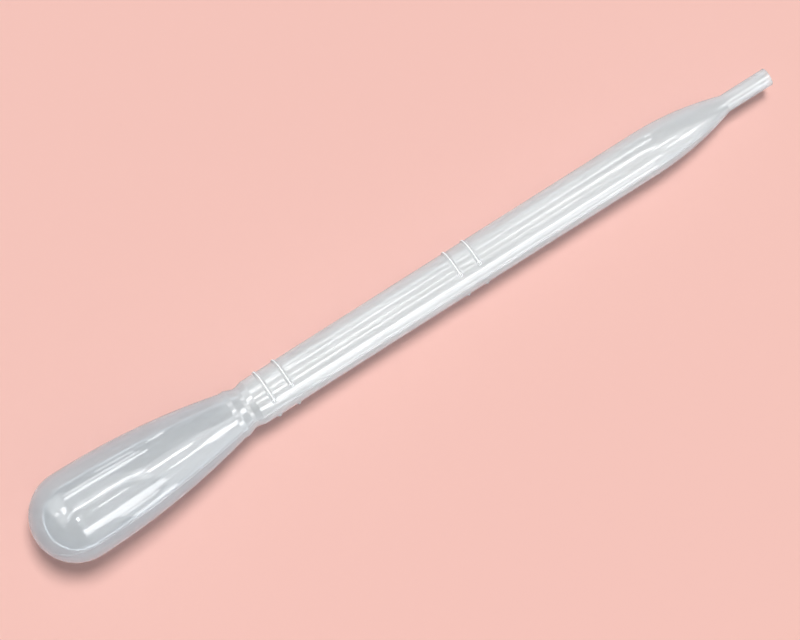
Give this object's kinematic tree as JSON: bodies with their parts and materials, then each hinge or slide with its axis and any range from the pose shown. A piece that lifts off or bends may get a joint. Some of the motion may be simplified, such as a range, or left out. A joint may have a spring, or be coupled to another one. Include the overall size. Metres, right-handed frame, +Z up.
{
  "type": "dropper pipette",
  "caption": "One-piece blow-moulded dropper pipette lying on its side, with a squeeze bulb, a straight barrel with raised volume marks and a narrow open tip.",
  "frame": {"origin": "under the middle of the part's bounding box, on the surface that the pipette lies on", "axes": "+Z up; +X points the way the tip points; seen from above the pipette is straight, because its slight bow hangs down and lifts both ends"},
  "size_m": [0.2099, 0.0226, 0.0228],
  "materials": {
    "ldpe": "milky translucent low-density polyethylene, smooth from the mould with a soft gloss"
  },
  "bodies": {
    "root": {"pipette": "ldpe"}
  },
  "joints": []
}
